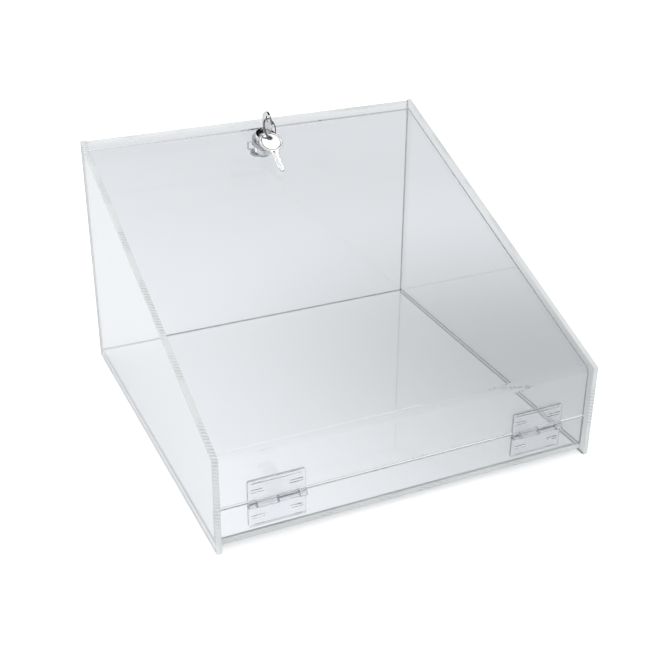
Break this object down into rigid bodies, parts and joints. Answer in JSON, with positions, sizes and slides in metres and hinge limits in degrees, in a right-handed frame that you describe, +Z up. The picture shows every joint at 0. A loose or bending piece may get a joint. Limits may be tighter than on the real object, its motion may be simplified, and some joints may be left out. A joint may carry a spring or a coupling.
{
  "type": "counter display case",
  "caption": "Clear acrylic counter display case with a sloping lid hinged along the front and a keyed cam lock near the top.",
  "frame": {"origin": "middle of the bounding box's footprint, on the counter that the side panels stand on", "axes": "+X to the right seen from the front, +Y from the low hinged front to the tall back, +Z up"},
  "size_m": [0.3, 0.3058, 0.2084],
  "materials": {
    "acrylic_sheet": "clear cast sheet, polished faces, slightly frosted sawn edges",
    "clear_moulding": "clear injection moulding",
    "chrome_plate": "bright plating",
    "steel": "plain zinc-plated steel",
    "brass": "bare stamped brass"
  },
  "bodies": {
    "case": {"left_side_panel": "acrylic_sheet", "right_side_panel": "acrylic_sheet", "base_panel": "acrylic_sheet", "front_rail": "acrylic_sheet", "back_panel": "acrylic_sheet", "left_hinge_lower_leaf": "clear_moulding", "left_hinge_pin": "clear_moulding", "right_hinge_lower_leaf": "clear_moulding", "right_hinge_pin": "clear_moulding"},
    "lid": {"lid_panel": "acrylic_sheet", "left_hinge_upper_leaf": "clear_moulding", "right_hinge_upper_leaf": "clear_moulding", "lock_housing": "chrome_plate", "lock_washer": "steel", "lock_nut": "steel"},
    "plug": {"lock_plug": "chrome_plate", "lock_wafer_1": "brass", "lock_wafer_2": "brass", "lock_wafer_3": "brass", "lock_wafer_4": "brass", "lock_wafer_5": "brass", "lock_cam": "steel", "cam_screw": "steel"},
    "key": {"lock_key": "chrome_plate"},
    "ring": {"key_ring": "chrome_plate"},
    "spare": {"spare_key": "chrome_plate"}
  },
  "joints": [
    {"name": "lid_hinge", "type": "hinge", "parent": "case", "child": "lid", "pos_m": [0, -0.15015, 0.0325], "axis": [1, 0, 0], "range_deg": [0, 145]},
    {"name": "plug_turn", "type": "hinge", "parent": "lid", "child": "plug", "pos_m": [0.0021, 0.13466, 0.18526], "axis": [0, 0.3693, -0.9293], "range_deg": [0, 90]},
    {"name": "key_pull", "type": "slide", "parent": "plug", "child": "key", "axis": [0, -0.3693, 0.9293], "range_m": [0, 0.019]},
    {"name": "ring_swing", "type": "hinge", "parent": "key", "child": "ring", "pos_m": [0.0021, 0.12772, 0.20273], "axis": [-1, 0, 0], "range_deg": [0, 60]},
    {"name": "spare_key_swing", "type": "hinge", "parent": "ring", "child": "spare", "pos_m": [-0.00109, 0.1171, 0.18974], "axis": [0.0119, 0.5703, -0.8214], "range_deg": [0, 25]}
  ]
}
